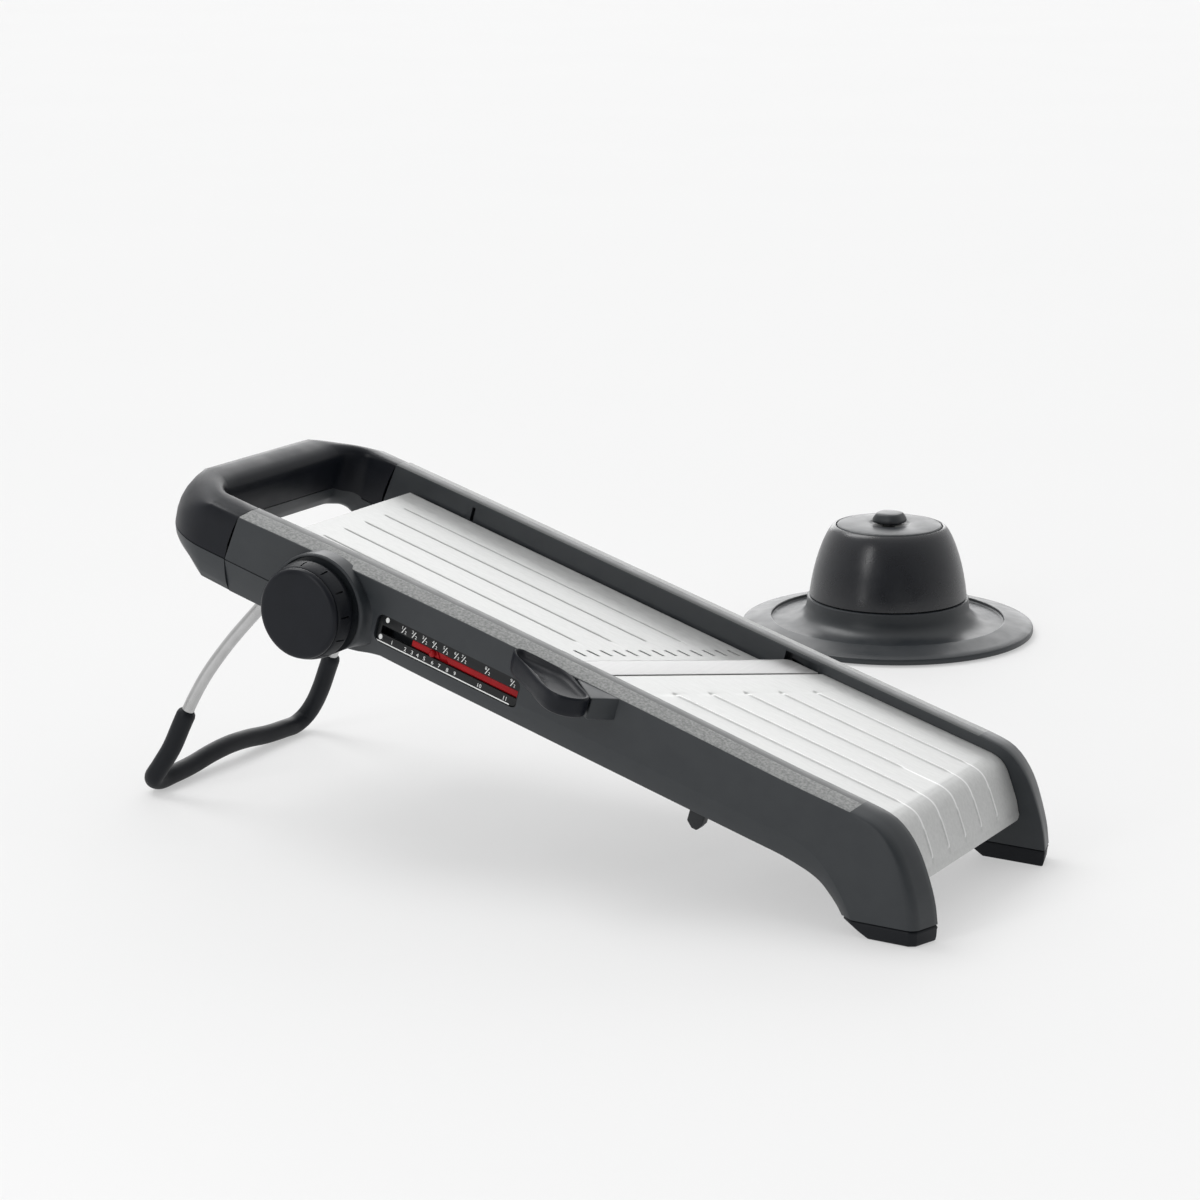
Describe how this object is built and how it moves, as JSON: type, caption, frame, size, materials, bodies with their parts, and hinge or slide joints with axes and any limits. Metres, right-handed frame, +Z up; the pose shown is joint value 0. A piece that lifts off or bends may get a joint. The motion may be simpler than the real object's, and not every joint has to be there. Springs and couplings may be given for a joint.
{
  "type": "mandoline slicer",
  "caption": "Long sloping steel slicer with a diagonal blade, side thickness dial with scale, loop handle, folding wire leg and a domed food guard with a spring plunger.",
  "frame": {"origin": "on the table, at the middle of the box round the slicer and its food guard", "axes": "+Z up, +X from the handle towards the feet, +Y from the dial side towards the food guard"},
  "size_m": [0.4056, 0.5608, 0.1543],
  "materials": {
    "grey_plastic": "fine moulded texture, matt",
    "dark_plastic": "matt",
    "black_plastic": "smooth satin",
    "black_rubber": "soft satin",
    "brushed_steel": "fine lengthwise brushing",
    "blade_steel": "ground",
    "spring_steel": "bright",
    "leg_steel": "satin",
    "red_plastic": "satin",
    "scale_plastic": "satin",
    "white_print": "printed marks on the scale"
  },
  "bodies": {
    "root": {"near_rail": "grey_plastic", "far_rail": "grey_plastic", "handle_grip": "black_rubber", "handle_shell": "grey_plastic", "handle_bridge": "grey_plastic", "landing_plate": "brushed_steel", "landing_tray": "dark_plastic", "bowl_hook_near": "dark_plastic", "bowl_hook_far": "dark_plastic", "detent_spring": "spring_steel", "scale_plate": "scale_plastic", "tray_screw_1": "spring_steel", "tray_screw_2": "spring_steel", "tray_screw_3": "spring_steel", "tray_screw_4": "spring_steel", "foot_pad_near": "black_rubber", "foot_pad_far": "black_rubber"},
    "blade_cassette": {"blade": "blade_steel", "blade_carrier": "dark_plastic", "blade_grip": "black_rubber", "blade_rivet_1": "spring_steel", "blade_rivet_2": "spring_steel", "blade_rivet_3": "spring_steel", "blade_rivet_4": "spring_steel"},
    "dial": {"dial_core": "black_plastic", "dial_grip": "black_rubber", "cam_shaft": "spring_steel", "lift_cam_near": "dark_plastic", "lift_cam_far": "dark_plastic", "detent_wheel": "dark_plastic"},
    "marker": {"scale_marker": "red_plastic"},
    "runway": {"runway_plate": "brushed_steel", "runway_frame": "dark_plastic", "hinge_pin_near": "spring_steel", "hinge_pin_far": "spring_steel"},
    "comb": {"julienne_comb": "blade_steel", "julienne_bar": "dark_plastic"},
    "leg": {"leg_rod": "leg_steel", "leg_sleeve": "black_rubber"},
    "guard": {"guard_body": "grey_plastic", "guard_grip": "black_rubber", "guard_cap": "grey_plastic"},
    "plunger": {"plunger_button": "grey_plastic", "plunger_rod": "spring_steel", "pusher_plate": "dark_plastic", "plunger_spring": "spring_steel"}
  },
  "joints": [
    {"name": "dial_turn", "type": "hinge", "parent": "root", "child": "dial", "pos_m": [-0.09157, -0.18813, 0.10608], "axis": [0, 1, 0], "range_deg": [-105, 170]},
    {"name": "runway_tilt", "type": "hinge", "parent": "root", "child": "runway", "pos_m": [-0.1243, -0.18813, 0.124], "axis": [0, 1, 0], "range_deg": [-1.5, 2.4]},
    {"name": "marker_slide", "type": "slide", "parent": "root", "child": "marker", "axis": [0.9613, 0, -0.2756], "range_m": [-0.026, 0.042]},
    {"name": "comb_lift", "type": "slide", "parent": "runway", "child": "comb", "axis": [0.284, 0, 0.9588], "range_m": [0, 0.005]},
    {"name": "blade_slide", "type": "slide", "parent": "root", "child": "blade_cassette", "axis": [-0.4645, -0.8755, 0.1332], "range_m": [0, 0.125]},
    {"name": "leg_fold", "type": "hinge", "parent": "root", "child": "leg", "pos_m": [-0.12013, -0.18813, 0.1106], "axis": [0, -1, 0], "range_deg": [0, 95]},
    {"name": "guard_lift", "type": "slide", "parent": "root", "child": "guard", "axis": [0, 0, 1], "range_m": [0, 0.12]},
    {"name": "plunger_slide", "type": "slide", "parent": "guard", "child": "plunger", "axis": [0, 0, 1], "range_m": [0, 0.024], "stiffness_N_per_m": 60, "springref_m": -0.02, "deforming": ["plunger_spring"]}
  ],
  "couplings": [
    {"joint": "runway_tilt", "follows": "dial_turn", "ratio": 0.0137},
    {"joint": "marker_slide", "follows": "dial_turn", "m_per_rad": 0.014}
  ]
}
